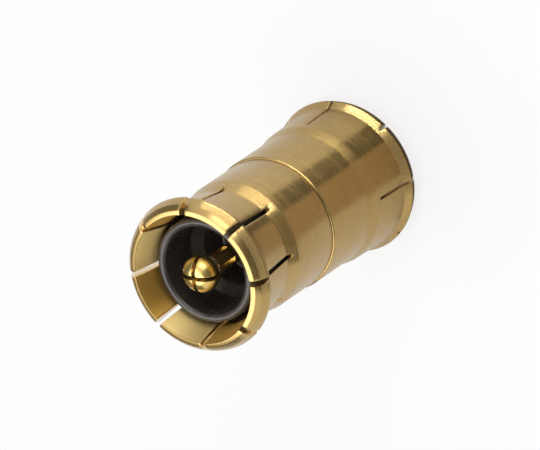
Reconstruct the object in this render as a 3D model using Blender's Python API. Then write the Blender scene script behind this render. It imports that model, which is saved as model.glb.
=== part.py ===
"""Board-to-board coaxial bullet adapter: two slotted sleeves, two insulators, one centre contact.

The adapter stands on its rear rim with its axis on +Z. Its front end, at the top, has the longer
spring fingers. Both sleeves are turned from bar, gold plated and sawn at the rim. The front
sleeve's tail is pressed into the rear sleeve at mid length, and that joint clamps the flanges of the
two insulators, which hold the collar of the centre contact between them.
"""

import math

import bmesh
import bpy
from mathutils import Matrix, Vector

# Lengths below are in millimetres and the finished meshes are in metres
MM = 0.001

# Facets round the turned pieces
ROUND_SLEEVE = 64
ROUND_TUBE = 48
ROUND_CONTACT = 32

# Working gap between pieces that touch or are pressed together
FIT = 0.03

# The whole adapter, along its axis from the joint between the sleeves
FRONT_HALF = 6.02
REAR_HALF = 5.98

# Collet end shared by both sleeves, heights measured back from the rim
BORE_R = 2.46
RIM_LAND_WALL = 0.27
RIM_LAND_WIDTH = 0.28
CREST_WALL = 0.79
CREST_BACK = 0.50
CREST_FLAT = 0.20
CREST_ROUND = 0.09
NOSE_WALL = 0.665
NOSE_DROP = 0.10
NOSE_ROUND = 0.05
EASE_STEPS = 3
MOUTH_DEPTH = 1.15
MOUTH_ROUND = 0.30
MOUTH_STEPS = 3

# Front sleeve, heights measured back from its rim
CREASE_BACK = 1.28
CREASE_WALL = 0.40
NECK_FOOT_BACK = 2.88
NECK_WALL = 0.19
SHOULDER_BACK = 3.53
FRONT_BODY_WALL = 0.355

# Rear sleeve, heights measured back from its rim
FLARE_FOOT_BACK = 0.94
COLLAR_REAR_WALL = 0.59
COLLAR_FRONT_WALL = 0.54
COLLAR_BACK = 2.84
COLLAR_CONE = 0.52
REAR_BODY_WALL = 0.415
EDGE_ROUND = 0.04

# Slots between the spring fingers
FINGERS = 8
FRONT_SLOT_LENGTH = 3.20
FRONT_SLOT_ROOT = 0.17
FRONT_SLOT_SPREAD = 0.07
REAR_SLOT_LENGTH = 2.60
REAR_NOTCH_LENGTH = 0.80
REAR_SLOT_ROOT = 0.11
REAR_SLOT_SPREAD = 0.03
SLOT_ROOT_STEPS = 6

# Joint at mid length: flange seat in both sleeves, and the tail of the front sleeve
SEAT_STEP = 0.07
FLANGE_THICK = 0.90
TAIL_LENGTH = 0.74
TAIL_WALL = 0.14

# Insulator: a flange, a web and a thin tube with a rounded lip
TUBE_GAP = 0.24
TUBE_WALL = 0.36
LIP_SETBACK = 0.86
WEB_THICK = 1.60
LIP_STEPS = 8

# Centre contact, the same at both ends
COLLAR_R = 0.95
COLLAR_HALF = 0.35
SHANK_R = 0.60
SPRING_R = 0.44
SPRING_TAPER = 0.15
HEAD_R = 0.78
TIP_SETBACK = 0.04
DOME_HEIGHT = 0.48
HEAD_TAPER = 0.70
TIP_FLAT_R = 0.12
DOME_STEPS = 6
CONTACT_SLOT = 0.18
CONTACT_SLOT_LENGTH = 2.60
CONTACT_SLOT_TURN = math.radians(40.0)

# Finishes
GOLD = (0.70, 0.50, 0.22, 1.0)
CONTACT_GOLD = (0.78, 0.58, 0.27, 1.0)
BLACK_PLASTIC = (0.018, 0.017, 0.018, 1.0)


def clear_scene():
    """Remove every object the file starts with."""
    for thing in list(bpy.data.objects):
        bpy.data.objects.remove(thing, do_unlink=True)


def finish(name, colour, metallic, roughness):
    """Make one Principled material."""
    material = bpy.data.materials.new(name)
    material.use_nodes = True
    shader = material.node_tree.nodes["Principled BSDF"]
    shader.inputs["Base Color"].default_value = colour
    shader.inputs["Metallic"].default_value = metallic
    shader.inputs["Roughness"].default_value = roughness
    return material


def quarter(start, end, steps, flat_first):
    """Points of a quarter ellipse between two (radius, height) corners, the first left out.

    With flat_first the curve leaves the start square to the axis, otherwise along it.
    """
    points = []
    for step in range(1, steps + 1):
        turn = math.pi / 2 * step / steps
        across, along = (math.sin(turn), 1 - math.cos(turn))
        if not flat_first:
            across, along = (1 - math.cos(turn), math.sin(turn))
        radius = start[0] + (end[0] - start[0]) * across
        height = start[1] + (end[1] - start[1]) * along
        points.append((radius, height))
    return points


def eased(before, corner, after, reach):
    """Points of a short curve that replaces a corner between its two neighbours.

    The curve takes at most half of either side.
    """
    here = Vector(corner)
    back = Vector(before) - here
    ahead = Vector(after) - here
    reach = min(reach, back.length / 2, ahead.length / 2)
    start = here + back.normalized() * reach
    stop = here + ahead.normalized() * reach
    points = []
    for step in range(EASE_STEPS + 1):
        share = step / EASE_STEPS
        spot = start * (1 - share) ** 2 + here * 2 * share * (1 - share) + stop * share ** 2
        points.append((spot.x, spot.y))
    return points


def turned(name, outline, facets):
    """Spin a closed (radius, height) outline about the axis into one closed mesh."""
    bm = bmesh.new()
    corners = [bm.verts.new((radius * MM, 0.0, height * MM)) for radius, height in outline]
    edges = []
    for here, there in zip(corners, corners[1:] + corners[:1]):
        on_axis = here.co.x < 1e-9 and there.co.x < 1e-9
        if not on_axis:
            edges.append(bm.edges.new((here, there)))
    bmesh.ops.spin(bm, geom=corners + edges, cent=(0, 0, 0), axis=(0, 0, 1), angle=math.tau,
                   steps=facets, use_merge=True)
    bmesh.ops.remove_doubles(bm, verts=bm.verts, dist=1e-7)
    bmesh.ops.dissolve_degenerate(bm, edges=bm.edges, dist=1e-8)
    bmesh.ops.recalc_face_normals(bm, faces=bm.faces)
    mesh = bpy.data.meshes.new(name)
    bm.to_mesh(mesh)
    bm.free()
    mesh.shade_smooth()
    mesh.set_sharp_from_angle(angle=math.radians(28))
    return mesh


def place(name, mesh, material, height, flipped, parent):
    """Put a mesh in the scene at a height on the axis, turned end for end if flipped."""
    if not mesh.materials:
        mesh.materials.append(material)
    piece = bpy.data.objects.new(name, mesh)
    piece.location = (0.0, 0.0, height * MM)
    if flipped:
        piece.rotation_euler = (math.pi, 0.0, 0.0)
    bpy.context.collection.objects.link(piece)
    piece.parent = parent
    return piece


def cut(piece, mesh, name):
    """Cut a piece with a hidden cutter that shares its place."""
    cutter = bpy.data.objects.new(name, mesh)
    cutter.location = piece.location
    cutter.rotation_euler = piece.rotation_euler
    cutter.parent = piece.parent
    cutter.hide_render = True
    cutter.display_type = "WIRE"
    bpy.context.collection.objects.link(cutter)
    boolean = piece.modifiers.new("slots", "BOOLEAN")
    boolean.operation = "DIFFERENCE"
    boolean.solver = "EXACT"
    boolean.object = cutter


def finger_slots(name, rim, lengths, root_width, spread):
    """Blades that saw the fingers: a slot each, with a half-round root towards the joint.

    The lengths take turns round the rim, the first one on +X. A slot is wider at the rim by the
    spread, because its two fingers are sprung outwards.
    """
    half = root_width / 2
    half_top = half + spread / 2
    inner = (BORE_R - TUBE_GAP) * 0.8
    outer = (BORE_R + CREST_WALL) * 1.2
    top = rim + root_width
    bm = bmesh.new()
    for finger in range(FINGERS):
        root = rim - lengths[finger % len(lengths)] + half
        side = [(half_top, top), (-half_top, top)]
        for step in range(SLOT_ROOT_STEPS + 1):
            turn = math.pi + math.pi * step / SLOT_ROOT_STEPS
            side.append((half * math.cos(turn), root + half * math.sin(turn)))
        place_at = Matrix.Rotation(math.tau * finger / FINGERS, 4, "Z")
        corners = [bm.verts.new(place_at @ Vector((inner * MM, y * MM, z * MM))) for y, z in side]
        blade = bmesh.ops.extrude_face_region(bm, geom=[bm.faces.new(corners)])["geom"]
        reach = place_at @ Vector(((outer - inner) * MM, 0.0, 0.0))
        moved = [part for part in blade if isinstance(part, bmesh.types.BMVert)]
        bmesh.ops.translate(bm, verts=moved, vec=reach)
    bmesh.ops.recalc_face_normals(bm, faces=bm.faces)
    mesh = bpy.data.meshes.new(name)
    bm.to_mesh(mesh)
    bm.free()
    return mesh


def contact_slots(name, tip):
    """A cross-shaped bar at each end of the contact, one mesh with two separate bars."""
    half = CONTACT_SLOT / 2
    reach = HEAD_R * 1.4
    quadrant = [(reach, -half), (reach, half), (half, half)]
    bm = bmesh.new()
    for end in (1, -1):
        low = end * (tip - CONTACT_SLOT_LENGTH)
        high = end * (tip + CONTACT_SLOT)
        corners = []
        for arm in range(4):
            turn = Matrix.Rotation(CONTACT_SLOT_TURN + math.pi / 2 * arm, 4, "Z")
            for x, y in quadrant:
                corners.append(bm.verts.new(turn @ Vector((x * MM, y * MM, low * MM))))
        bar = bmesh.ops.extrude_face_region(bm, geom=[bm.faces.new(corners)])["geom"]
        moved = [part for part in bar if isinstance(part, bmesh.types.BMVert)]
        bmesh.ops.translate(bm, verts=moved, vec=(0.0, 0.0, (high - low) * MM))
    bmesh.ops.recalc_face_normals(bm, faces=bm.faces)
    mesh = bpy.data.meshes.new(name)
    bm.to_mesh(mesh)
    bm.free()
    return mesh


def collet_outer(rim):
    """Outside of the collet end, from its crest up the tapered nose to the rim land."""
    crest = BORE_R + CREST_WALL
    foot = (crest, rim - CREST_BACK - CREST_FLAT)
    shoulder = (crest, rim - CREST_BACK)
    nose = (BORE_R + NOSE_WALL, rim - NOSE_DROP)
    land = (BORE_R + RIM_LAND_WALL + RIM_LAND_WIDTH, rim)
    points = [foot] + eased(foot, shoulder, nose, CREST_ROUND)
    points += eased(shoulder, nose, land, NOSE_ROUND)
    points.append(land)
    return points


def collet_inner(rim):
    """Inside of the collet end: the conical mouth from the rim land, eased into the bore."""
    land_inner = BORE_R + RIM_LAND_WALL
    slope = RIM_LAND_WALL / MOUTH_DEPTH
    points = [(land_inner, rim)]
    for step in range(MOUTH_STEPS + 1):
        share = step / MOUTH_STEPS
        depth = MOUTH_DEPTH + MOUTH_ROUND * (2 * share - 1)
        points.append((BORE_R + slope * MOUTH_ROUND * (1 - share) ** 2, rim - depth))
    return points


def front_sleeve_outline():
    """Section of the front sleeve, its joint face at height 0 and its tail below it."""
    rim = FRONT_HALF
    seat_r = BORE_R + SEAT_STEP
    tail_r = seat_r + TAIL_WALL
    body_r = BORE_R + FRONT_BODY_WALL
    shelf = FIT / 2 + FLANGE_THICK + FIT
    outline = [(seat_r, -TAIL_LENGTH), (tail_r, -TAIL_LENGTH), (tail_r, FIT), (body_r, FIT)]
    outline.append((body_r, rim - SHOULDER_BACK))
    outline.append((BORE_R + NECK_WALL, rim - NECK_FOOT_BACK))
    outline.append((BORE_R + CREASE_WALL, rim - CREASE_BACK))
    outline += collet_outer(rim)
    outline += collet_inner(rim)
    outline += [(BORE_R, shelf), (seat_r, shelf)]
    return outline


def rear_sleeve_outline():
    """Section of the rear sleeve, its mouth at height 0 and its rim up, before it is turned over."""
    rim = REAR_HALF
    seat_r = BORE_R + SEAT_STEP
    socket_r = seat_r + TAIL_WALL + FIT
    body_r = BORE_R + REAR_BODY_WALL
    socket_floor = TAIL_LENGTH + FIT
    shelf = FIT / 2 + FLANGE_THICK + FIT
    outline = [(socket_r, 0.0), (body_r - EDGE_ROUND, 0.0)]
    outline += quarter((body_r - EDGE_ROUND, 0.0), (body_r, EDGE_ROUND), 3, True)
    outline.append((body_r, rim - COLLAR_BACK - COLLAR_CONE))
    outline.append((BORE_R + COLLAR_FRONT_WALL, rim - COLLAR_BACK))
    outline.append((BORE_R + COLLAR_REAR_WALL, rim - FLARE_FOOT_BACK))
    outline += collet_outer(rim)
    outline += collet_inner(rim)
    outline += [(BORE_R, shelf), (seat_r, shelf), (seat_r, socket_floor), (socket_r, socket_floor)]
    return outline


def insulator_outline(half):
    """Section of an insulator whose base lies on the joint and whose lip points up."""
    base = FIT / 2
    flange_r = BORE_R + SEAT_STEP - FIT
    tube_r = BORE_R - TUBE_GAP
    web_r = BORE_R - FIT
    inner_r = tube_r - TUBE_WALL
    hole_r = SHANK_R + FIT
    pocket_r = COLLAR_R + FIT
    pocket = COLLAR_HALF + FIT
    lip = half - LIP_SETBACK
    lip_r = TUBE_WALL / 2
    outline = [(pocket_r, base), (flange_r, base), (flange_r, base + FLANGE_THICK)]
    outline += [(web_r, base + FLANGE_THICK), (web_r, WEB_THICK), (tube_r, WEB_THICK + TUBE_GAP)]
    for step in range(LIP_STEPS + 1):
        turn = math.pi * step / LIP_STEPS
        radius = inner_r + lip_r + lip_r * math.cos(turn)
        outline.append((radius, lip - lip_r + lip_r * math.sin(turn)))
    outline += [(inner_r, WEB_THICK), (hole_r, WEB_THICK), (hole_r, pocket), (pocket_r, pocket)]
    return outline


def contact_half(tip):
    """Radii and heights of one half of the contact, from its middle collar out to its tip."""
    head = tip - DOME_HEIGHT
    points = [(COLLAR_R, COLLAR_HALF), (SHANK_R, COLLAR_HALF), (SHANK_R, WEB_THICK)]
    points.append((SPRING_R, WEB_THICK + SPRING_TAPER))
    points.append((SPRING_R, head - HEAD_TAPER))
    for step in range(1, 4):
        ease = math.sin(math.pi / 2 * step / 4)
        points.append((SPRING_R + (HEAD_R - SPRING_R) * ease, head - HEAD_TAPER * (1 - step / 4)))
    points.append((HEAD_R, head))
    points += quarter((HEAD_R, head), (TIP_FLAT_R, tip), DOME_STEPS, False)
    points.append((0.0, tip))
    return points


def build():
    """Model the adapter."""
    clear_scene()
    gold = finish("gold_plating", GOLD, 1.0, 0.28)
    bright_gold = finish("contact_gold_plating", CONTACT_GOLD, 1.0, 0.20)
    black = finish("black_plastic", BLACK_PLASTIC, 0.0, 0.32)

    stand = bpy.data.objects.new("adapter", None)
    bpy.context.collection.objects.link(stand)

    front_mesh = turned("front_sleeve", front_sleeve_outline(), ROUND_SLEEVE)
    front = place("front_sleeve", front_mesh, gold, REAR_HALF, False, stand)
    lengths = (FRONT_SLOT_LENGTH,)
    blades = finger_slots("front_slots", FRONT_HALF, lengths, FRONT_SLOT_ROOT, FRONT_SLOT_SPREAD)
    cut(front, blades, "front_slot_cutter")

    rear_mesh = turned("rear_sleeve", rear_sleeve_outline(), ROUND_SLEEVE)
    rear = place("rear_sleeve", rear_mesh, gold, REAR_HALF, True, stand)
    lengths = (REAR_NOTCH_LENGTH, REAR_SLOT_LENGTH)
    blades = finger_slots("rear_slots", REAR_HALF, lengths, REAR_SLOT_ROOT, REAR_SLOT_SPREAD)
    cut(rear, blades, "rear_slot_cutter")

    front_tube = turned("front_insulator", insulator_outline(FRONT_HALF), ROUND_TUBE)
    place("front_insulator", front_tube, black, REAR_HALF, False, stand)
    rear_tube = turned("rear_insulator", insulator_outline(REAR_HALF), ROUND_TUBE)
    place("rear_insulator", rear_tube, black, REAR_HALF, True, stand)

    tip = min(FRONT_HALF, REAR_HALF) - TIP_SETBACK
    upper = contact_half(tip)
    lower = [(radius, -height) for radius, height in reversed(upper)]
    contact_mesh = turned("centre_contact", lower + upper, ROUND_CONTACT)
    contact = place("centre_contact", contact_mesh, bright_gold, REAR_HALF, False, stand)
    cut(contact, contact_slots("contact_slots", tip), "contact_slot_cutter")


build()
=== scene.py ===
"""Dresses the coaxial bullet adapter: turned gold sleeves, black tubes and a cross-slotted contact."""
import logging
import math
from dataclasses import dataclass, field
from enum import Enum
from typing import Callable, Iterable

import bmesh
import bpy
from mathutils import Euler, Matrix, Vector


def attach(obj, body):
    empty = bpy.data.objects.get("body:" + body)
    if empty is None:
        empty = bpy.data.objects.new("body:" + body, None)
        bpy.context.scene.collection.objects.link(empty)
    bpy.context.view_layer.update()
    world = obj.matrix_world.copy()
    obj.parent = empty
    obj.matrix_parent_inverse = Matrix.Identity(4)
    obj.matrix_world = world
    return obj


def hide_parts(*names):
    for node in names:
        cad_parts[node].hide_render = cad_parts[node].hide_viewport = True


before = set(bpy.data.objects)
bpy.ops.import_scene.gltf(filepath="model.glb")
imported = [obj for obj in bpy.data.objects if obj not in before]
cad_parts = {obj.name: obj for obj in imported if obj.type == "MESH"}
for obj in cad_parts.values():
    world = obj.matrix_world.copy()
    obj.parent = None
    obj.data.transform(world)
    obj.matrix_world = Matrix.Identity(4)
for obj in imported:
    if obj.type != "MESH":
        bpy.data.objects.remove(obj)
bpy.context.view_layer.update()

logging.basicConfig(level=logging.INFO, format="%(message)s")
log = logging.getLogger("adapter")

# Pieces are modelled in millimetres and brought to metres when they are finished
TO_METRES = 0.001
# Height of the joint between the sleeves, above the floor, in millimetres
JOINT = 5.98
FINGERS = 8
# Corners nearer than this, in millimetres, count as one place
CLOSE = 0.001
# Edges sharper than this, in degrees, are rounded
SHARP = 40.0
# Place, in millimetres, from which no two corners of a piece are equally far
ORDER_FROM = (13.17, 7.31, 4.59)

Point = tuple[float, float]


class End(Enum):
    """The two ends of the adapter; the front is the upper one."""

    FRONT = 1
    REAR = -1

    @property
    def half(self) -> float:
        """Length of this half, from the joint to its rim."""
        return 6.02 if self is End.FRONT else 5.98

    @property
    def word(self) -> str:
        """Name of the end as it stands in the pieces' names."""
        return self.name.lower()


@dataclass(frozen=True)
class Corner:
    """One corner of a turned outline, in millimetres, eased by a small radius."""

    radius: float
    height: float
    ease: float = 0.0
    steps: int = 3


def eased(corners: list[Corner], closed: bool) -> list[Point]:
    """Turns corners into the points of an outline, with each eased corner as a short curve.

    Args:
        corners: Corners in order along the outline.
        closed: Whether the last corner joins the first.

    Returns:
        The (radius, height) points of the outline.
    """
    points: list[Point] = []
    count = len(corners)
    for index, corner in enumerate(corners):
        here = Vector((corner.radius, corner.height))
        at_end = not closed and index in (0, count - 1)
        if corner.ease <= 0.0 or at_end:
            points.append((here.x, here.y))
            continue
        before = corners[index - 1]
        after = corners[(index + 1) % count]
        back = Vector((before.radius, before.height)) - here
        ahead = Vector((after.radius, after.height)) - here
        reach = min(corner.ease, back.length * 0.45, ahead.length * 0.45)
        start = here + back.normalized() * reach
        stop = here + ahead.normalized() * reach
        for step in range(corner.steps + 1):
            share = step / corner.steps
            spot = start * (1 - share) ** 2 + here * 2 * share * (1 - share) + stop * share ** 2
            points.append((spot.x, spot.y))
    return points


class Bench:
    """Hand moves that all pieces share."""

    @staticmethod
    def clear_selection() -> None:
        """Leaves edit mode and deselects everything."""
        if bpy.context.object and bpy.context.object.mode != "OBJECT":
            bpy.ops.object.mode_set(mode="OBJECT")
        bpy.ops.object.select_all(action="DESELECT")

    @staticmethod
    def activate(piece: bpy.types.Object) -> None:
        """Makes one object the selected and active one.

        Args:
            piece: The object.
        """
        Bench.clear_selection()
        piece.select_set(True)
        bpy.context.view_layer.objects.active = piece

    @staticmethod
    def unite(pieces: list[bpy.types.Object]) -> bpy.types.Object:
        """Joins pieces into the first of them.

        Args:
            pieces: The pieces in object mode.

        Returns:
            The one object.
        """
        Bench.activate(pieces[0])
        for piece in pieces:
            piece.select_set(True)
        bpy.ops.object.join()
        return pieces[0]

    @staticmethod
    def draw(name: str, points: list[Point], closed: bool) -> bpy.types.Object:
        """Draws an outline in the plane of X and Z by extruding a point.

        Args:
            name: Name of the new object.
            points: The (radius, height) points of the outline.
            closed: Whether the outline ends where it starts.

        Returns:
            The object, in edit mode, with its whole outline selected.
        """
        Bench.clear_selection()
        first = Vector((points[0][0], 0.0, points[0][1]))
        bpy.ops.mesh.primitive_plane_add(size=0.1, location=(0.0, 0.0, 0.0))
        piece = bpy.context.object
        piece.name = name
        piece.data.name = name
        bpy.ops.object.mode_set(mode="EDIT")
        bpy.ops.mesh.select_mode(type="VERT")
        bpy.ops.mesh.select_all(action="SELECT")
        bpy.ops.mesh.merge(type="CENTER")
        bpy.ops.transform.translate(value=first)
        here = first
        for radius, height in points[1:] + (points[:1] if closed else []):
            there = Vector((radius, 0.0, height))
            bpy.ops.mesh.extrude_vertices_move(TRANSFORM_OT_translate={"value": there - here})
            here = there
        bpy.ops.mesh.select_all(action="SELECT")
        bpy.ops.mesh.remove_doubles(threshold=1e-6)
        return piece

    @staticmethod
    def spin(turns: Iterable[tuple[int, float]]) -> None:
        """Spins the selected outline about the axis in stretches and closes the shell.

        Args:
            turns: Steps and angle, in degrees, of each stretch, a full turn in all.
        """
        for steps, angle in turns:
            bpy.ops.mesh.spin(steps=steps, angle=math.radians(angle),
                              center=(0.0, 0.0, 0.0), axis=(0.0, 0.0, 1.0))
        bpy.ops.mesh.select_all(action="SELECT")
        bpy.ops.mesh.remove_doubles(threshold=1e-4)
        bpy.ops.mesh.normals_make_consistent(inside=False)
        bpy.ops.object.mode_set(mode="OBJECT")

    @staticmethod
    def select(piece: bpy.types.Object, kind: str, wanted: Callable[[object], bool]) -> None:
        """Selects only the faces or edges that a test picks.

        Args:
            piece: The piece in edit mode.
            kind: FACE or EDGE.
            wanted: Test of one face or edge.
        """
        mesh = bmesh.from_edit_mesh(piece.data)
        bpy.ops.mesh.select_mode(type=kind)
        bpy.ops.mesh.select_all(action="DESELECT")
        for item in mesh.faces if kind == "FACE" else mesh.edges:
            item.select_set(wanted(item))
        mesh.select_flush_mode()
        bmesh.update_edit_mesh(piece.data)

    @staticmethod
    def cut(piece: bpy.types.Object, cutter: bpy.types.Object) -> None:
        """Cuts a piece with a cutter and takes the cutter away.

        Args:
            piece: The piece that is cut.
            cutter: The cutter, which is removed.
        """
        Bench.activate(piece)
        boolean = piece.modifiers.new("cut", "BOOLEAN")
        boolean.operation = "DIFFERENCE"
        boolean.solver = "EXACT"
        boolean.object = cutter
        bpy.ops.object.modifier_apply(modifier="cut")
        bpy.data.objects.remove(cutter, do_unlink=True)
        Bench.put_in_order(piece)

    @staticmethod
    def put_in_order(piece: bpy.types.Object) -> None:
        """Sorts a mesh by the distance from one odd place, so that each run gives the same piece.

        Args:
            piece: The piece in object mode.
        """
        Bench.activate(piece)
        bpy.context.scene.cursor.location = ORDER_FROM
        bpy.ops.object.mode_set(mode="EDIT")
        bpy.ops.mesh.select_all(action="SELECT")
        bpy.ops.mesh.sort_elements(type="CURSOR_DISTANCE", elements={"VERT", "EDGE", "FACE"})
        bpy.ops.object.mode_set(mode="OBJECT")
        bpy.context.scene.cursor.location = (0.0, 0.0, 0.0)

    @staticmethod
    def break_edges(piece: bpy.types.Object, width: float, angle: float, segments: int) -> None:
        """Rounds the sharp edges of a piece by a bevel.

        Args:
            piece: The piece in object mode.
            width: Width of the bevel in millimetres.
            angle: Edges sharper than this many degrees are rounded.
            segments: Faces across the bevel.
        """
        Bench.activate(piece)
        bpy.ops.object.mode_set(mode="EDIT")
        bpy.ops.mesh.select_all(action="SELECT")
        bpy.ops.mesh.remove_doubles(threshold=0.002)
        bpy.ops.object.mode_set(mode="OBJECT")
        bevel = piece.modifiers.new("edges", "BEVEL")
        bevel.width = width
        bevel.segments = segments
        bevel.limit_method = "ANGLE"
        bevel.angle_limit = math.radians(angle)
        bpy.ops.object.modifier_apply(modifier="edges")

    @staticmethod
    def settle(piece: bpy.types.Object, end: End, smooth: float = 30.0) -> None:
        """Brings a finished piece to metres and to its place, and smooths its shading.

        Args:
            piece: The piece, modelled upwards from the joint.
            end: The end that it belongs to; a rear piece is turned over.
            smooth: Edges sharper than this many degrees stay crisp.
        """
        Bench.activate(piece)
        piece.scale = (TO_METRES, TO_METRES, TO_METRES)
        piece.location = (0.0, 0.0, JOINT * TO_METRES)
        if end is End.REAR:
            piece.rotation_euler = Euler((math.pi, 0.0, 0.0))
        bpy.ops.object.transform_apply(location=True, rotation=True, scale=True)
        bpy.ops.object.shade_smooth_by_angle(angle=math.radians(smooth))


@dataclass(frozen=True)
class SawCut:
    """Slots sawn along the fingers, with half-round roots, in millimetres.

    The lengths take turns round the rim, the first one on +X.
    """

    lengths: tuple[float, ...]
    width: float
    spread: float
    inner: float = 1.9
    outer: float = 3.9
    root_segments: int = 10
    root_share: float = 0.498

    def blade(self, name: str, rim: float, length: float) -> bpy.types.Object:
        """Models one blade on +X.

        Args:
            name: Name of the cutter.
            rim: Height of the rim that the slot opens through.
            length: Depth of the slot from the rim.

        Returns:
            The blade, in object mode.
        """
        Bench.clear_selection()
        top = rim + self.width
        bottom = rim - length
        middle = ((self.inner + self.outer) / 2, 0.0, (top + bottom) / 2)
        bpy.ops.mesh.primitive_cube_add(size=1.0, location=middle)
        blade = bpy.context.object
        blade.name = name
        blade.scale = (self.outer - self.inner, self.width, top - bottom)
        bpy.ops.object.transform_apply(location=True, rotation=False, scale=True)
        bpy.ops.object.mode_set(mode="EDIT")
        Bench.select(blade, "FACE", lambda face: face.normal.z > 0.9)
        bpy.ops.transform.resize(value=(1.0, 1.0 + self.spread / self.width, 1.0),
                                 center_override=(0.0, 0.0, top))
        Bench.select(blade, "EDGE", lambda edge: all(v.co.z < bottom + CLOSE for v in edge.verts)
                     and abs(edge.verts[0].co.y - edge.verts[1].co.y) < CLOSE)
        bpy.ops.mesh.bevel(offset=self.width * self.root_share, segments=self.root_segments, affect="EDGES")
        bpy.ops.object.mode_set(mode="OBJECT")
        return blade

    def blades(self, name: str, rim: float) -> bpy.types.Object:
        """Models the blades of all the slots as one cutter.

        Args:
            name: Name of the cutter.
            rim: Height of the rim that the slots open through.

        Returns:
            One object with a blade for each slot.
        """
        first = [self.blade(name, rim, length) for length in self.lengths]
        blades = list(first)
        for slot in range(1, FINGERS):
            blade = first[slot % len(first)]
            if slot >= len(first):
                blade = blade.copy()
                blade.data = blade.data.copy()
                bpy.context.collection.objects.link(blade)
                blades.append(blade)
            blade.rotation_euler = Euler((0.0, 0.0, math.tau * slot / FINGERS))
        return Bench.unite(blades)


@dataclass
class Sleeve:
    """One turned sleeve with its slotted, flared collet. Sizes in millimetres."""

    end: End
    bore: float = 2.46
    land_inner: float = 2.73
    land_outer: float = 2.925
    land_slope: float = 0.04
    nose_top: float = 3.10
    nose_drop: float = 0.22
    nose_ease: float = 0.04
    crest: float = 3.25
    crest_back: float = 0.58
    mouth_depth: float = 1.15
    seat: float = 2.53
    shelf: float = 0.945
    finger_steps: int = 24
    slot_band: float = 9.0
    edge: float = 0.012

    @property
    def name(self) -> str:
        """Name of the dressed piece."""
        return f"{self.end.word}_spring_sleeve"

    @property
    def saw(self) -> SawCut:
        """The slots between the fingers of this end.

        Returns:
            The cut, short and long by turns at the rear.
        """
        if self.end is End.FRONT:
            return SawCut(lengths=(3.20,), width=0.17, spread=0.07)
        return SawCut(lengths=(0.80, 2.60), width=0.11, spread=0.03)

    def nose(self, rim: float) -> list[Corner]:
        """Corners from the crest over the tapered nose, its chamfer and the land into the mouth.

        Args:
            rim: Height of the rim land.

        Returns:
            The corners in order, outside first.
        """
        flat = 0.12 if self.end is End.FRONT else 0.04
        corners = [Corner(self.crest, rim - self.crest_back - flat, 0.05)]
        corners.append(Corner(self.crest, rim - self.crest_back, 0.10, 5))
        corners.append(Corner(self.nose_top, rim - self.nose_drop, self.nose_ease, 4))
        corners.append(Corner(self.land_outer, rim - self.land_slope, 0.03))
        corners.append(Corner(self.land_inner, rim, 0.030))
        corners.append(Corner(self.bore, rim - self.mouth_depth, 0.30, 5))
        return corners

    def front_corners(self) -> list[Corner]:
        """Corners of the front sleeve, from its tail up over the outside and down its bore.

        Returns:
            The corners of its section.
        """
        rim = self.end.half
        corners = [Corner(2.53, -0.74), Corner(2.67, -0.74, 0.03), Corner(2.67, 0.03, 0.01)]
        corners.append(Corner(2.815, 0.03, 0.025))
        corners.append(Corner(2.815, rim - 3.53, 0.05))
        corners.append(Corner(2.65, rim - 2.88, 0.05))
        corners.append(Corner(2.862, rim - 1.29, 0.03))
        corners.append(Corner(2.955, rim - 1.05, 0.04))
        corners += self.nose(rim)
        corners += [Corner(self.bore, self.shelf), Corner(self.seat, self.shelf)]
        return corners

    def rear_corners(self) -> list[Corner]:
        """Corners of the rear sleeve, from its socket up over the outside and down its bore.

        Returns:
            The corners of its section.
        """
        rim = self.end.half
        corners = [Corner(2.70, 0.0, 0.02), Corner(2.875, 0.0, 0.11, 5)]
        corners.append(Corner(2.875, rim - 3.36, 0.05))
        corners.append(Corner(3.00, rim - 2.84, 0.05))
        corners.append(Corner(3.05, rim - 0.94, 0.04))
        corners += self.nose(rim)
        corners += [Corner(self.bore, self.shelf), Corner(self.seat, self.shelf)]
        corners += [Corner(self.seat, 0.77), Corner(2.70, 0.77)]
        return corners

    def build(self) -> bpy.types.Object:
        """Models the sleeve.

        Returns:
            The finished piece.
        """
        corners = self.front_corners() if self.end is End.FRONT else self.rear_corners()
        piece = Bench.draw(self.name, eased(corners, closed=True), closed=True)
        half_band = self.slot_band / 2
        span = 360.0 / FINGERS - self.slot_band
        turns = [(1, half_band)]
        for finger in range(FINGERS):
            turns.append((self.finger_steps, span))
            turns.append((1, half_band) if finger == FINGERS - 1 else (2, self.slot_band))
        Bench.spin(turns)
        Bench.cut(piece, self.saw.blades(f"{self.name}_saw", self.end.half))
        Bench.break_edges(piece, self.edge, SHARP, 2)
        Bench.settle(piece, self.end)
        return piece


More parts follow.
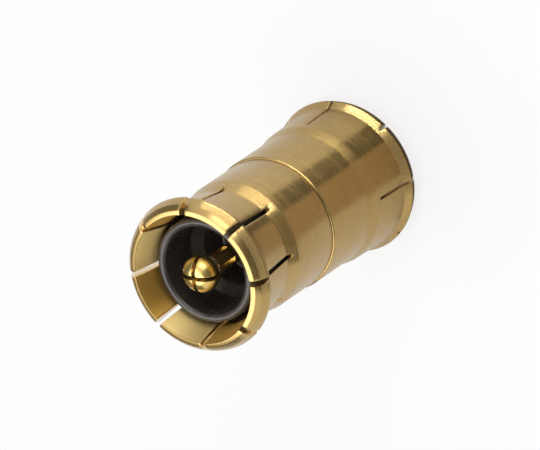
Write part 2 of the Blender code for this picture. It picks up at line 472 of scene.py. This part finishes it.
@dataclass
class Insulator:
    """A moulded flange, web and tube with a rounded lip. Sizes in millimetres."""

    end: End
    base: float = 0.015
    flange: float = 2.50
    flange_thick: float = 0.90
    web: float = 2.43
    web_thick: float = 1.60
    fillet: float = 0.24
    tube: float = 2.22
    tube_inner: float = 1.86
    lip_setback: float = 0.86
    lip_steps: int = 14
    step_setback: float = 1.90
    step_width: float = 0.40
    hole: float = 0.63
    pocket: float = 0.98
    pocket_deep: float = 0.38
    facets: int = 120

    @property
    def name(self) -> str:
        """Name of the dressed piece."""
        return f"{self.end.word}_moulded_tube"

    def corners(self) -> list[Corner]:
        """Corners of the moulding's section, from its base up the outside and down the bore.

        Returns:
            The corners in order.
        """
        base = self.base
        lip = self.end.half - self.lip_setback
        lip_r = (self.tube - self.tube_inner) / 2
        corners = [Corner(self.pocket, base, 0.02), Corner(self.flange, base, 0.03)]
        corners.append(Corner(self.flange, base + self.flange_thick, 0.03))
        corners.append(Corner(self.web, base + self.flange_thick))
        corners.append(Corner(self.web, self.web_thick, 0.03))
        corners.append(Corner(self.tube, self.web_thick + self.fillet, 0.04))
        for step in range(self.lip_steps + 1):
            turn = math.pi * step / self.lip_steps
            radius = self.tube_inner + lip_r + lip_r * math.cos(turn)
            corners.append(Corner(radius, lip - lip_r + lip_r * math.sin(turn)))
        guide = self.tube_inner - self.step_width
        corners.append(Corner(self.tube_inner, lip - self.step_setback, 0.05))
        corners.append(Corner(guide, lip - self.step_setback - self.step_width, 0.05))
        corners.append(Corner(guide, self.web_thick, 0.12, 5))
        corners.append(Corner(self.hole, self.web_thick, 0.03))
        corners.append(Corner(self.hole, self.pocket_deep, 0.02))
        corners.append(Corner(self.pocket, self.pocket_deep))
        return corners

    def build(self) -> bpy.types.Object:
        """Models the insulator.

        Returns:
            The finished piece.
        """
        piece = Bench.draw(self.name, eased(self.corners(), closed=True), closed=True)
        Bench.spin([(self.facets, 360.0)])
        Bench.settle(piece, self.end)
        return piece


@dataclass
class Contact:
    """The centre contact, with a cross-slotted domed head at each end. Sizes in millimetres."""

    tip: float = 5.94
    collar: float = 0.95
    collar_half: float = 0.35
    shank: float = 0.60
    shank_end: float = 1.60
    shank_taper: float = 0.15
    spring: float = 0.44
    head: float = 0.78
    dome: float = 0.60
    head_taper: float = 0.70
    taper_steps: int = 8
    flat: float = 0.12
    dome_steps: int = 12
    facets: int = 96
    slot: float = 0.18
    slot_length: float = 2.60
    slot_turn: float = 40.0
    bar_reach: float = 2.6
    edge: float = 0.014
    name: str = "slotted_contact"

    def half(self) -> list[Corner]:
        """Corners of one half, from the middle collar out to the tip.

        Returns:
            The corners in order.
        """
        shoulder = self.tip - self.dome
        corners = [Corner(self.collar, 0.0), Corner(self.collar, self.collar_half, 0.04)]
        corners.append(Corner(self.shank, self.collar_half, 0.03))
        corners.append(Corner(self.shank, self.shank_end, 0.04))
        corners.append(Corner(self.spring, self.shank_end + self.shank_taper, 0.08, 4))
        corners.append(Corner(self.spring, shoulder - self.head_taper, 0.10, 4))
        for step in range(1, self.taper_steps):
            share = step / self.taper_steps
            radius = self.spring + (self.head - self.spring) * math.sin(math.pi / 2 * share)
            corners.append(Corner(radius, shoulder - self.head_taper * (1 - share)))
        corners.append(Corner(self.head, shoulder, 0.04))
        for step in range(1, self.dome_steps + 1):
            turn = math.pi / 2 * step / self.dome_steps
            radius = self.head + (self.flat - self.head) * (1 - math.cos(turn))
            corners.append(Corner(radius, shoulder + self.dome * math.sin(turn)))
        corners.append(Corner(0.0, self.tip))
        return corners

    def bar(self, turn: float) -> bpy.types.Object:
        """One saw cut through both heads.

        Args:
            turn: Angle of the cut about the axis, in degrees.

        Returns:
            The cutter, a bar at each end.
        """
        bars = []
        for sign in (1, -1):
            Bench.clear_selection()
            middle = sign * (self.tip - self.slot_length / 2 + self.slot)
            bpy.ops.mesh.primitive_cube_add(size=1.0, location=(0.0, 0.0, middle))
            bar = bpy.context.object
            bar.scale = (self.head * self.bar_reach, self.slot, self.slot_length)
            bar.rotation_euler = Euler((0.0, 0.0, math.radians(turn)))
            bpy.ops.object.transform_apply(location=True, rotation=True, scale=True)
            bars.append(bar)
        return Bench.unite(bars)

    def build(self) -> bpy.types.Object:
        """Models the contact.

        Returns:
            The finished piece.
        """
        upper = eased(self.half(), closed=False)
        lower = [(radius, -height) for radius, height in reversed(upper[1:])]
        piece = Bench.draw(self.name, lower + upper[1:], closed=False)
        Bench.spin([(self.facets, 360.0)])
        for turn in (self.slot_turn, self.slot_turn + 90.0):
            Bench.cut(piece, self.bar(turn))
        Bench.break_edges(piece, self.edge, SHARP, 2)
        Bench.settle(piece, End.FRONT)
        return piece


class Shading:
    """Short ways to add and join shader nodes."""

    def __init__(self, tree: bpy.types.NodeTree) -> None:
        """Keeps the node tree that the nodes go into."""
        self.tree = tree

    def add(self, kind: str, **settings: object) -> bpy.types.Node:
        """Adds a node.

        Args:
            kind: Blender's name of the node type.
            settings: Properties of the node.

        Returns:
            The new node.
        """
        node = self.tree.nodes.new(kind)
        for name, value in settings.items():
            setattr(node, name, value)
        return node

    def join(self, source: bpy.types.NodeSocket, target: bpy.types.NodeSocket) -> None:
        """Links an output to an input."""
        self.tree.links.new(source, target)

    def math(self, operation: str, first: object, second: object = None) -> bpy.types.NodeSocket:
        """Adds a Math node.

        Args:
            operation: The operation's name.
            first: Socket or number.
            second: Socket or number, if the operation takes two.

        Returns:
            The result's socket.
        """
        node = self.add("ShaderNodeMath", operation=operation)
        for socket, value in zip(node.inputs, (first, second)):
            if isinstance(value, bpy.types.NodeSocket):
                self.join(value, socket)
            elif value is not None:
                socket.default_value = value
        return node.outputs[0]

    def remap(self, value: bpy.types.NodeSocket, low: float, high: float,
              to_low: float = 0.0, to_high: float = 1.0) -> bpy.types.NodeSocket:
        """Maps a range of values smoothly onto another, and holds it there.

        Args:
            value: The socket to map.
            low: Value that gives to_low.
            high: Value that gives to_high.
            to_low: Result at and below low.
            to_high: Result at and above high.

        Returns:
            The mapped socket.
        """
        node = self.add("ShaderNodeMapRange", interpolation_type="SMOOTHSTEP")
        self.join(value, node.inputs["Value"])
        ends = {"From Min": low, "From Max": high, "To Min": to_low, "To Max": to_high}
        for name, number in ends.items():
            node.inputs[name].default_value = number
        return node.outputs["Result"]

    def mix(self, share: bpy.types.NodeSocket, first: object, second: object) -> bpy.types.NodeSocket:
        """Mixes two colours.

        Args:
            share: Socket with the second colour's share.
            first: Socket or colour.
            second: Socket or colour.

        Returns:
            The mixed colour's socket.
        """
        node = self.add("ShaderNodeMix", data_type="RGBA")
        self.join(share, node.inputs["Factor"])
        for socket, value in ((node.inputs[6], first), (node.inputs[7], second)):
            if isinstance(value, bpy.types.NodeSocket):
                self.join(value, socket)
            else:
                socket.default_value = (*value, 1.0)
        return node.outputs[2]

    def blend(self, share: bpy.types.NodeSocket, first: bpy.types.NodeSocket,
              second: float) -> bpy.types.NodeSocket:
        """Moves a value towards a number.

        Args:
            share: Socket with the number's share.
            first: Socket with the value.
            second: The number.

        Returns:
            The blended value's socket.
        """
        return self.math("ADD", first, self.math("MULTIPLY", share, self.math("SUBTRACT", second, first)))

    def noise(self, vector: bpy.types.NodeSocket, scale: float, detail: float = 3.0,
              roughness: float = 0.5) -> bpy.types.NodeSocket:
        """Adds a noise texture.

        Args:
            vector: Socket with the place.
            scale: Size of the pattern's waves, as waves in a unit.
            detail: Number of finer layers.
            roughness: Strength of the finer layers.

        Returns:
            The noise value's socket.
        """
        node = self.add("ShaderNodeTexNoise")
        self.join(vector, node.inputs["Vector"])
        node.inputs["Scale"].default_value = scale
        node.inputs["Detail"].default_value = detail
        node.inputs["Roughness"].default_value = roughness
        return node.outputs["Fac"]

    def from_axis(self, x: bpy.types.NodeSocket, y: bpy.types.NodeSocket) -> bpy.types.NodeSocket:
        """Distance of a place from the axis, as a socket."""
        return self.math("SQRT", self.math("ADD", self.math("MULTIPLY", x, x), self.math("MULTIPLY", y, y)))


def millimetres(nodes: Shading) -> bpy.types.NodeSocket:
    """Object coordinates in millimetres.

    Args:
        nodes: Helper of the group or material.

    Returns:
        The coordinates' socket.
    """
    place = nodes.add("ShaderNodeTexCoord")
    scale = nodes.add("ShaderNodeVectorMath", operation="SCALE")
    nodes.join(place.outputs["Object"], scale.inputs[0])
    scale.inputs["Scale"].default_value = 1.0 / TO_METRES
    return scale.outputs["Vector"]


def effect_group(name: str, inputs: dict[str, float],
                 outputs: list[str]) -> tuple[bpy.types.NodeTree, Shading]:
    """Starts a shader node group with number sockets.

    Args:
        name: Name of the group.
        inputs: Input names and their usual values.
        outputs: Output names.

    Returns:
        The group and the helper that adds its nodes.
    """
    group = bpy.data.node_groups.new(name, "ShaderNodeTree")
    for label, value in inputs.items():
        socket = group.interface.new_socket(name=label, in_out="INPUT", socket_type="NodeSocketFloat")
        socket.default_value = value
    for label in outputs:
        group.interface.new_socket(name=label, in_out="OUTPUT", socket_type="NodeSocketFloat")
    return group, Shading(group)


def turning_marks() -> bpy.types.NodeTree:
    """Fine rings that a lathe tool leaves round the axis.

    Returns:
        A group with the rings' height and a mask of the broader bands among them.
    """
    group, nodes = effect_group("turning_marks", {"Rings per mm": 16.0}, ["Height", "Bands"])
    given = nodes.add("NodeGroupInput")
    result = nodes.add("NodeGroupOutput")
    split = nodes.add("ShaderNodeSeparateXYZ")
    nodes.join(millimetres(nodes), split.inputs[0])
    x, y, z = split.outputs
    around = nodes.math("MULTIPLY", nodes.math("ARCTAN2", y, x), 0.03)
    section = nodes.add("ShaderNodeCombineXYZ")
    for value, socket in zip((nodes.from_axis(x, y), around, z), section.inputs):
        nodes.join(value, socket)
    scaled = nodes.add("ShaderNodeVectorMath", operation="SCALE")
    nodes.join(section.outputs[0], scaled.inputs[0])
    nodes.join(given.outputs[0], scaled.inputs["Scale"])
    nodes.join(nodes.noise(scaled.outputs[0], 1.0, 2.0, 0.6), result.inputs["Height"])
    bands = nodes.noise(scaled.outputs[0], 0.22, 2.0, 0.6)
    nodes.join(nodes.remap(bands, 0.38, 0.66), result.inputs["Bands"])
    return group


def sawn_faces() -> bpy.types.NodeTree:
    """Finds the faces that a saw left, and tells the fingers between them apart.

    Returns:
        A group with a mask of the faces that look along a circle round the axis, and a mask that is
        1 on every second of eight fingers.
    """
    group, nodes = effect_group("sawn_faces", {"Fingers": FINGERS}, ["Sawn", "Second"])
    given = nodes.add("NodeGroupInput")
    result = nodes.add("NodeGroupOutput")
    place = nodes.add("ShaderNodeTexCoord")
    across = nodes.add("ShaderNodeVectorMath", operation="CROSS_PRODUCT")
    across.inputs[0].default_value = (0.0, 0.0, 1.0)
    nodes.join(place.outputs["Object"], across.inputs[1])
    along = nodes.add("ShaderNodeVectorMath", operation="NORMALIZE")
    nodes.join(across.outputs["Vector"], along.inputs[0])
    facing = nodes.add("ShaderNodeVectorMath", operation="DOT_PRODUCT")
    nodes.join(along.outputs["Vector"], facing.inputs[0])
    nodes.join(place.outputs["Normal"], facing.inputs[1])
    sawn = nodes.math("ABSOLUTE", facing.outputs["Value"])
    nodes.join(nodes.remap(sawn, 0.60, 0.85), result.inputs["Sawn"])
    split = nodes.add("ShaderNodeSeparateXYZ")
    nodes.join(place.outputs["Object"], split.inputs[0])
    turn = nodes.math("DIVIDE", nodes.math("ARCTAN2", split.outputs[1], split.outputs[0]), math.tau)
    finger = nodes.math("FLOOR", nodes.math("MULTIPLY", turn, given.outputs[0]))
    nodes.join(nodes.math("FLOORED_MODULO", finger, 2.0), result.inputs["Second"])
    return group


def plating_tone() -> bpy.types.NodeTree:
    """Slow changes of tone and haze over a plated surface.

    Returns:
        A group with a tone mask, a haze mask and small dull specks.
    """
    group, nodes = effect_group("plating_tone", {"Patch size": 1.0}, ["Tone", "Haze", "Specks"])
    given = nodes.add("NodeGroupInput")
    result = nodes.add("NodeGroupOutput")
    place = nodes.add("ShaderNodeVectorMath", operation="SCALE")
    nodes.join(millimetres(nodes), place.inputs[0])
    nodes.join(nodes.math("DIVIDE", 1.0, given.outputs[0]), place.inputs["Scale"])
    spot = place.outputs[0]
    nodes.join(nodes.remap(nodes.noise(spot, 0.8, 3.0, 0.55), 0.35, 0.68), result.inputs["Tone"])
    nodes.join(nodes.remap(nodes.noise(spot, 2.1, 4.0, 0.6), 0.40, 0.72), result.inputs["Haze"])
    nodes.join(nodes.remap(nodes.noise(spot, 9.0, 2.0, 0.5), 0.66, 0.74), result.inputs["Specks"])
    return group


class Finish:
    """Starts materials with one Principled shader, for the finishes, the floor and the cards."""

    def start(self, name: str) -> tuple[bpy.types.Material, Shading, bpy.types.Node]:
        """Starts a material.

        Args:
            name: Name of the material.

        Returns:
            The material, the helper for its nodes and its shader.
        """
        material = bpy.data.materials.new(name)
        material.use_nodes = True
        nodes = Shading(material.node_tree)
        return material, nodes, material.node_tree.nodes["Principled BSDF"]


@dataclass(frozen=True)
class GoldPlating(Finish):
    """Gold plating over turned brass, with turning marks, warm patches, a thin clear film and painted light
    in the mouths.

    The mouth starts inside the radii of mouth_edge and beyond the heights of mouth_foot, both in
    millimetres and counted from the axis and the joint.
    """

    name: str
    bright: tuple[float, float, float]
    warm: tuple[float, float, float]
    smooth: float
    hazy: float
    rings: float
    ring_depth: float
    stretch: float
    # Painted light: the mouths are painted much lighter than the plating, standing in for light that falls
    # into them
    mouth: tuple[float, float, float] = (0.88, 0.68, 0.29)
    # Painted shade: every second finger's mouth is painted darker, as if its face caught less light
    second_mouth_painted_shade: tuple[float, float, float] = (0.68, 0.42, 0.10)
    mouth_rough: float = 0.0
    sawn: tuple[float, float, float] = (0.82, 0.66, 0.42)
    sawn_rough: float = 0.20
    mouth_edge: tuple[float, float] = (2.74, 2.71)
    mouth_foot: tuple[float, float] = (4.4, 4.8)
    film: float = 0.55
    film_rough: float = 0.22
    warm_share: float = 0.3
    speck_share: float = 0.12
    speck_dim: float = 0.8
    patch_haze: float = 0.3
    ring_haze: float = 0.5

    def mouth_mask(self, nodes: Shading) -> bpy.types.NodeSocket:
        """Mask of the conical mouths, which keep the satin roughness of the reamer and get painted light in
        their colour.

        Args:
            nodes: Helper of the material.

        Returns:
            A socket that is 1 inside the mouths.
        """
        split = nodes.add("ShaderNodeSeparateXYZ")
        nodes.join(millimetres(nodes), split.inputs[0])
        x, y, z = split.outputs
        height = nodes.math("ABSOLUTE", nodes.math("SUBTRACT", z, JOINT))
        inside = nodes.remap(nodes.from_axis(x, y), *self.mouth_edge)
        beyond = nodes.remap(height, *self.mouth_foot)
        return nodes.math("MULTIPLY", inside, beyond)

    def make(self, marks: bpy.types.NodeTree, tone: bpy.types.NodeTree,
             saw: bpy.types.NodeTree) -> bpy.types.Material:
        """Builds the material.

        Args:
            marks: The turning_marks group.
            tone: The plating_tone group.
            saw: The sawn_faces group.

        Returns:
            The material.
        """
        material, nodes, shader = self.start(self.name)
        shader.inputs["Metallic"].default_value = 1.0
        shader.inputs["Anisotropic"].default_value = self.stretch
        shader.inputs["Coat Weight"].default_value = self.film
        shader.inputs["Coat Roughness"].default_value = self.film_rough
        shader.inputs["Anisotropic Rotation"].default_value = 0.25
        round_axis = nodes.add("ShaderNodeTangent", direction_type="RADIAL", axis="Z")
        nodes.join(round_axis.outputs["Tangent"], shader.inputs["Tangent"])
        turned = nodes.add("ShaderNodeGroup", node_tree=marks)
        turned.inputs["Rings per mm"].default_value = self.rings
        plated = nodes.add("ShaderNodeGroup", node_tree=tone)
        warmth = nodes.math("MULTIPLY", plated.outputs["Tone"], self.warm_share)
        colour = nodes.mix(warmth, self.bright, self.warm)
        dull = tuple(part * self.speck_dim for part in self.warm)
        specks = nodes.math("MULTIPLY", plated.outputs["Specks"], self.speck_share)
        colour = nodes.mix(specks, colour, dull)
        haze = nodes.math("ADD", nodes.math("MULTIPLY", plated.outputs["Haze"], self.patch_haze),
                          nodes.math("MULTIPLY", turned.outputs["Bands"], self.ring_haze))
        rough = nodes.remap(haze, 0.0, 1.0, self.smooth, self.hazy)
        cuts = nodes.add("ShaderNodeGroup", node_tree=saw)
        # The mouths get a real satin roughness; their colour is painted light, with painted shade on every
        # second finger
        if self.mouth_rough > 0.0:
            mouth = self.mouth_mask(nodes)
            painted_mouth_light_and_shade = nodes.mix(cuts.outputs["Second"], self.mouth, self.second_mouth_painted_shade)
            colour = nodes.mix(mouth, colour, painted_mouth_light_and_shade)
            rough = nodes.blend(mouth, rough, self.mouth_rough)
        colour = nodes.mix(cuts.outputs["Sawn"], colour, self.sawn)
        rough = nodes.blend(cuts.outputs["Sawn"], rough, self.sawn_rough)
        nodes.join(colour, shader.inputs["Base Color"])
        nodes.join(rough, shader.inputs["Roughness"])
        bump = nodes.add("ShaderNodeBump")
        bump.inputs["Strength"].default_value = 1.0
        bump.inputs["Distance"].default_value = self.ring_depth * TO_METRES
        nodes.join(turned.outputs["Height"], bump.inputs["Height"])
        nodes.join(bump.outputs["Normal"], shader.inputs["Normal"])
        return material


@dataclass(frozen=True)
class BlackMoulding(Finish):
    """Semi-gloss black plastic with a faint moulded grain and slightly paler patches."""

    name: str = "black_moulding"
    base: tuple[float, float, float] = (0.040, 0.033, 0.032)
    worn: tuple[float, float, float] = (0.056, 0.048, 0.044)
    smooth: float = 0.24
    hazy: float = 0.36
    refraction: float = 1.5
    rings: float = 9.0
    patch_size: float = 0.6
    grain: float = 0.6
    grain_depth: float = 0.0006

    def make(self, marks: bpy.types.NodeTree, tone: bpy.types.NodeTree) -> bpy.types.Material:
        """Builds the material.

        Args:
            marks: The turning_marks group.
            tone: The plating_tone group.

        Returns:
            The material.
        """
        material, nodes, shader = self.start(self.name)
        shader.inputs["IOR"].default_value = self.refraction
        turned = nodes.add("ShaderNodeGroup", node_tree=marks)
        turned.inputs["Rings per mm"].default_value = self.rings
        patches = nodes.add("ShaderNodeGroup", node_tree=tone)
        patches.inputs["Patch size"].default_value = self.patch_size
        nodes.join(nodes.mix(patches.outputs["Tone"], self.base, self.worn), shader.inputs["Base Color"])
        nodes.join(nodes.remap(patches.outputs["Haze"], 0.0, 1.0, self.smooth, self.hazy),
                   shader.inputs["Roughness"])
        bump = nodes.add("ShaderNodeBump")
        bump.inputs["Strength"].default_value = self.grain
        bump.inputs["Distance"].default_value = self.grain_depth * TO_METRES
        nodes.join(turned.outputs["Height"], bump.inputs["Height"])
        nodes.join(bump.outputs["Normal"], shader.inputs["Normal"])
        return material


@dataclass(frozen=True)
class Lamp:
    """One soft area lamp, placed round the adapter. Lengths in metres, angles in degrees."""

    name: str
    azimuth: float
    elevation: float
    distance: float
    width: float
    height: float
    power: float

    def place(self, target: Vector) -> bpy.types.Object:
        """Adds the lamp, aimed at a point.

        Args:
            target: The point that the lamp faces.

        Returns:
            The lamp's object.
        """
        light = bpy.data.lights.new(self.name, "AREA")
        light.shape = "RECTANGLE"
        light.size = self.width
        light.size_y = self.height
        light.energy = self.power
        lamp = bpy.data.objects.new(self.name, light)
        away = direction(self.azimuth, self.elevation)
        lamp.location = target + away * self.distance
        lamp.rotation_euler = away.to_track_quat("Z", "Y").to_euler()
        lamp.visible_camera = False
        bpy.context.collection.objects.link(lamp)
        return lamp


@dataclass(frozen=True)
class Card:
    """A curved grey card round the adapter that only reflections see.

    Its section is a line from the near foot to the far head, spun about the adapter's axis.
    Lengths are in metres and angles in degrees.
    """

    name: str
    azimuth: float
    spread: float
    near: float
    far: float
    foot: float
    head: float
    shade: float
    steps: int = 16

    def lay(self) -> bpy.types.Object:
        """Makes the card.

        Returns:
            The card's object.
        """
        card = Bench.draw(self.name, [(self.near, self.foot), (self.far, self.head)], closed=False)
        bpy.ops.mesh.spin(steps=self.steps, angle=math.radians(self.spread),
                          center=(0.0, 0.0, 0.0), axis=(0.0, 0.0, 1.0))
        bpy.ops.object.mode_set(mode="OBJECT")
        middle = sum((v.co for v in card.data.vertices), Vector()) / len(card.data.vertices)
        card.rotation_euler.z = math.radians(self.azimuth) - math.atan2(middle.y, middle.x)
        bpy.ops.object.transform_apply(location=True, rotation=True, scale=True)
        as_card(card, (self.shade, self.shade, self.shade))
        return card


@dataclass(frozen=True)
class FloorStrip:
    """A strip on the floor that the sleeves mirror as one straight band along them.

    Its long edges are the paths of the mirrored sight lines. They are named by where they leave the
    sleeve across the view, from -1 at its left edge to 1 at its right. Lengths are in metres.
    """

    name: str
    left: float
    right: float
    near: float
    far: float
    shade: tuple[float, float, float]
    body: float = 0.00284
    height: float = -0.000006
    steps: int = 8

    def spot(self, across: float, reach: float, view: float) -> Point:
        """Floor point where a mirrored sight line lands.

        Args:
            across: Where the line meets the sleeve, from -1 to 1.
            reach: Distance from there to the floor point, seen from above.
            view: Azimuth of the camera in degrees.

        Returns:
            The point's X and Y.
        """
        turn = math.degrees(math.asin(across))
        place = direction(view - turn, 0.0) * self.body + direction(view - 2.0 * turn, 0.0) * reach
        return place.x, place.y

    def lay(self, view: float) -> bpy.types.Object:
        """Makes the strip.

        Args:
            view: Azimuth of the camera in degrees.

        Returns:
            The strip's object.
        """
        width = self.right - self.left
        shares = [self.left + width * step / self.steps for step in range(self.steps + 1)]
        outline = [self.spot(share, self.near, view) for share in shares]
        outline += [self.spot(share, self.far, view) for share in reversed(shares)]
        corners = [(x / TO_METRES, -y / TO_METRES) for x, y in outline]
        strip = Bench.draw(self.name, corners, closed=True)
        bpy.ops.mesh.edge_face_add()
        bpy.ops.object.mode_set(mode="OBJECT")
        strip.scale = (TO_METRES, TO_METRES, TO_METRES)
        strip.rotation_euler = Euler((math.pi / 2, 0.0, 0.0))
        strip.location = (0.0, 0.0, self.height)
        bpy.ops.object.transform_apply(location=True, rotation=True, scale=True)
        as_card(strip, self.shade)
        return strip


def as_card(piece: bpy.types.Object, shade: tuple[float, float, float]) -> None:
    """Gives a card its dull colour and lets only reflections see it.

    Args:
        piece: The card's object.
        shade: Its colour.
    """
    material, _, shader = Finish().start(piece.name)
    shader.inputs["Base Color"].default_value = (*shade, 1.0)
    shader.inputs["Roughness"].default_value = 0.9
    piece.data.materials.append(material)
    piece.visible_camera = False
    piece.visible_diffuse = False
    piece.visible_shadow = False


def direction(azimuth: float, elevation: float) -> Vector:
    """Unit vector towards an azimuth and elevation in degrees."""
    around, up = math.radians(azimuth), math.radians(elevation)
    return Vector((math.cos(up) * math.cos(around), math.cos(up) * math.sin(around), math.sin(up)))


@dataclass
class Studio:
    """The pale floor, white background, soft lamps, cards and the camera."""

    floor_size: float = 1.2
    floor_drop: float = 0.00002
    floor_seen: float = 0.80
    floor_mirrored: float = 0.22
    world_level: float = 0.35
    view_azimuth: float = 76.5
    view_elevation: float = 49.8219
    view_distance: float = 0.37799
    view_roll: float = 34.2
    lens: float = 629.99
    shift_x: float = -0.005792
    shift_y: float = -0.000546
    target: Vector = field(default_factory=lambda: Vector((0.0, 0.0, 0.006)))
    lamps: tuple[Lamp, ...] = (
        Lamp("key_lamp", 268.0, 71.0, 0.30, 0.34, 0.26, 0.76),
        Lamp("side_lamp", 114.0, 32.0, 0.12, 0.070, 0.06, 0.042),
        Lamp("low_strip", 121.0, -12.0, 0.034, 0.032, 0.0050, 0.0120),
    )
    cards: tuple[Card, ...] = (
        Card("foot_ring", 76.5, 150.0, 0.0031, 0.0038, -0.000002, -0.000002, 0.05),
        Card("dark_flag", 50.0, 76.0, 0.080, 0.080, 0.012, 0.095, 0.10),
        Card("dark_flag_top", 47.0, 74.0, 0.080, 0.030, 0.095, 0.112, 0.22),
        Card("far_flag", 238.0, 150.0, 0.080, 0.080, 0.004, 0.085, 0.20),
    )
    strips: tuple[FloorStrip, ...] = (
        FloorStrip("edge_strip", -1.00, -0.62, 0.0009, 0.013, (0.78, 0.77, 0.74)),
        FloorStrip("shoulder_strip", -0.62, -0.36, 0.0009, 0.013, (0.75, 0.75, 0.75)),
        FloorStrip("dark_strip", -0.36, -0.08, 0.0009, 0.013, (0.15, 0.14, 0.13)),
        FloorStrip("warm_strip", -0.08, 0.37, 0.0009, 0.013, (0.54, 0.43, 0.34)),
        FloorStrip("pale_strip", 0.37, 1.00, 0.0009, 0.013, (0.76, 0.74, 0.70)),
        FloorStrip("far_dark_strip", -0.11, 0.55, 0.014, 0.034, (0.03, 0.03, 0.03)),
    )

    def white_share(self, nodes: Shading, seen: float, mirrored: float) -> bpy.types.NodeSocket:
        """Socket with the share of plain white that each kind of ray meets.

        Args:
            nodes: Helper of the material or world.
            seen: Share for the camera's own rays.
            mirrored: Share for rays by way of metal or glass.

        Returns:
            The share's socket.
        """
        rays = nodes.add("ShaderNodeLightPath").outputs
        direct = nodes.math("MULTIPLY", rays["Is Camera Ray"], seen)
        indirect = nodes.math("MAXIMUM", rays["Is Glossy Ray"], rays["Is Transmission Ray"])
        return nodes.math("MAXIMUM", direct, nodes.math("MULTIPLY", indirect, mirrored))

    def floor(self) -> bpy.types.Object:
        """Lays the pale floor, which shows white and keeps the adapter's shadow.

        Returns:
            The floor's object.
        """
        Bench.clear_selection()
        bpy.ops.mesh.primitive_plane_add(size=self.floor_size, location=(0.0, 0.0, -self.floor_drop))
        floor = bpy.context.object
        floor.name = "floor"
        material, nodes, shader = Finish().start("pale_floor")
        shader.inputs["Base Color"].default_value = (0.86, 0.86, 0.86, 1.0)
        shader.inputs["Roughness"].default_value = 0.9
        white = nodes.add("ShaderNodeEmission")
        white.inputs["Strength"].default_value = 1.0
        mixed = nodes.add("ShaderNodeMixShader")
        nodes.join(self.white_share(nodes, self.floor_seen, self.floor_mirrored), mixed.inputs[0])
        nodes.join(shader.outputs[0], mixed.inputs[1])
        nodes.join(white.outputs[0], mixed.inputs[2])
        nodes.join(mixed.outputs[0], material.node_tree.nodes["Material Output"].inputs["Surface"])
        floor.data.materials.append(material)
        return floor

    def world(self) -> None:
        """Makes the plain soft world with its white background."""
        world = bpy.data.worlds.new("studio")
        world.use_nodes = True
        nodes = Shading(world.node_tree)
        soft = world.node_tree.nodes["Background"]
        soft.inputs["Color"].default_value = (1.0, 1.0, 1.0, 1.0)
        soft.inputs["Strength"].default_value = self.world_level
        white = nodes.add("ShaderNodeBackground")
        white.inputs["Color"].default_value = (1.0, 1.0, 1.0, 1.0)
        white.inputs["Strength"].default_value = 1.0
        mixed = nodes.add("ShaderNodeMixShader")
        nodes.join(self.white_share(nodes, 1.0, 1.0), mixed.inputs[0])
        nodes.join(soft.outputs[0], mixed.inputs[1])
        nodes.join(white.outputs[0], mixed.inputs[2])
        nodes.join(mixed.outputs[0], world.node_tree.nodes["World Output"].inputs["Surface"])
        bpy.context.scene.world = world

    def camera(self) -> bpy.types.Object:
        """Places the camera at the photograph's angle.

        Returns:
            The camera's object.
        """
        data = bpy.data.cameras.new("camera")
        data.lens = self.lens
        data.sensor_width = 36.0
        data.shift_x = self.shift_x
        data.shift_y = self.shift_y
        data.clip_start = 0.01
        camera = bpy.data.objects.new("camera", data)
        away = direction(self.view_azimuth, self.view_elevation)
        down = Vector((0.0, 0.0, -1.0))
        along = (down - down.dot(away) * away).normalized()
        across = away.cross(along)
        roll = math.radians(self.view_roll)
        right = math.cos(roll) * along - math.sin(roll) * across
        above = math.sin(roll) * along + math.cos(roll) * across
        turn = Matrix((right, above, away)).transposed()
        camera.matrix_world = Matrix.Translation(self.target + away * self.view_distance) @ turn.to_4x4()
        bpy.context.collection.objects.link(camera)
        bpy.context.scene.camera = camera
        return camera

    def build(self) -> None:
        """Sets up the floor, world, lamps, cards and camera."""
        self.floor()
        self.world()
        for lamp in self.lamps:
            lamp.place(self.target)
        for card in self.cards:
            card.lay()
        for strip in self.strips:
            strip.lay(self.view_azimuth)
        self.camera()
        bpy.context.scene.view_settings.view_transform = "Standard"


def main() -> None:
    """Builds and dresses the adapter, the stage and the camera."""
    marks = turning_marks()
    tone = plating_tone()
    saw = sawn_faces()
    sleeve_gold = GoldPlating("sleeve_gold", (0.48, 0.322, 0.108), (0.41, 0.26, 0.075), smooth=0.25,
                              hazy=0.33, rings=14.0, ring_depth=0.0010, stretch=0.76, mouth_rough=0.52)
    contact_gold = GoldPlating("contact_gold", (0.74, 0.54, 0.16), (0.64, 0.43, 0.11), smooth=0.24,
                               hazy=0.34, rings=12.0, ring_depth=0.0006, stretch=0.3)
    gold = sleeve_gold.make(marks, tone, saw)
    bright = contact_gold.make(marks, tone, saw)
    black = BlackMoulding().make(marks, tone)
    dressed = [
        ("front_sleeve", Sleeve(End.FRONT), gold, "sleeve_gold"),
        ("rear_sleeve", Sleeve(End.REAR), gold, "sleeve_gold"),
        ("front_insulator", Insulator(End.FRONT), black, "insulator_black"),
        ("rear_insulator", Insulator(End.REAR), black, "insulator_black"),
        ("centre_contact", Contact(), bright, "contact_gold"),
    ]
    for node, maker, material, slot in dressed:
        piece = maker.build()
        piece.data.materials.clear()
        piece.data.materials.append(material)
        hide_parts(node)
        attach(piece, "root")
        log.info("%s stands for %s: %d faces", piece.name, node, len(piece.data.polygons))
    Studio().build()


if __name__ == "__main__":
    main()
